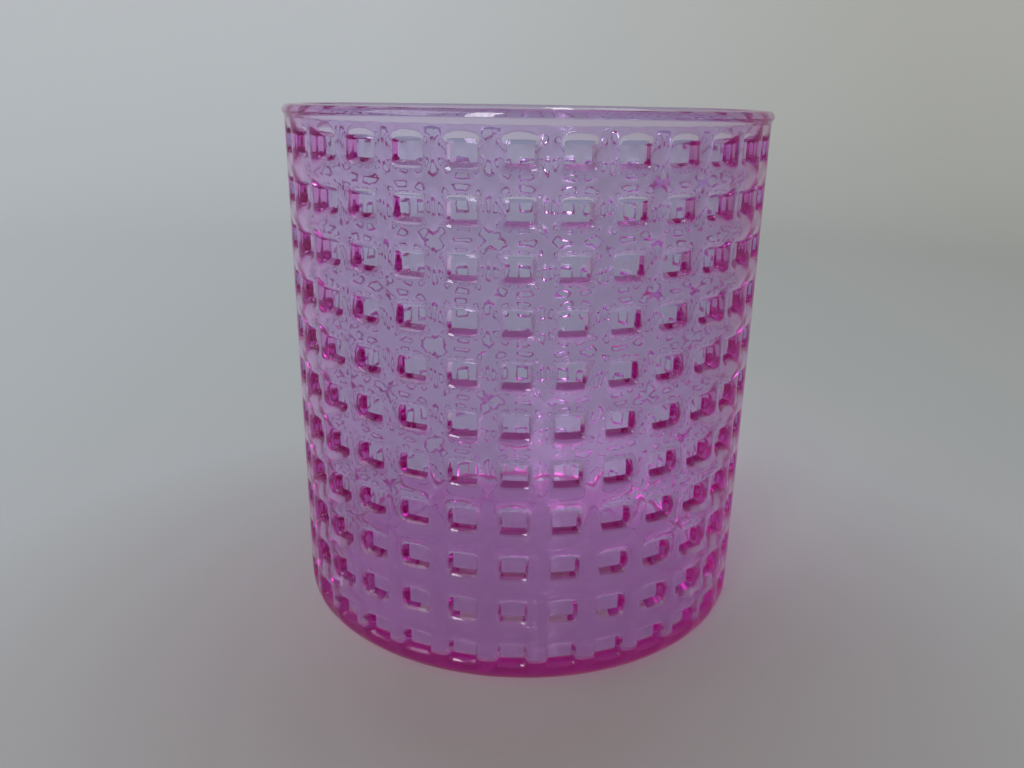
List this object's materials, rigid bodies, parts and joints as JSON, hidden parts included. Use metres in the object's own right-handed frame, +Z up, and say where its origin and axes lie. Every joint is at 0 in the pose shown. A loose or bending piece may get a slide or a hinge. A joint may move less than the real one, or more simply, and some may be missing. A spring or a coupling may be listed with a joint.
{
  "type": "tealight holder",
  "caption": "Short round pressed glass tumbler for a tealight, with a waffle relief of square pockets outside, a smooth bore and a small rounded foot.",
  "frame": {"origin": "centre of the foot, on the surface that the holder stands on", "axes": "+Z up along the axis of the bore; -Y is the front, which looks squarely at one column of pockets"},
  "size_m": [0.075, 0.075, 0.08],
  "materials": {
    "pink_violet_glass": "clear pressed glass, tinted pink-violet through its mass, fire-polished and smooth, lavender where it is thin and deep magenta along the edge of the foot"
  },
  "bodies": {
    "root": {"glass_holder": "pink_violet_glass"}
  },
  "joints": []
}
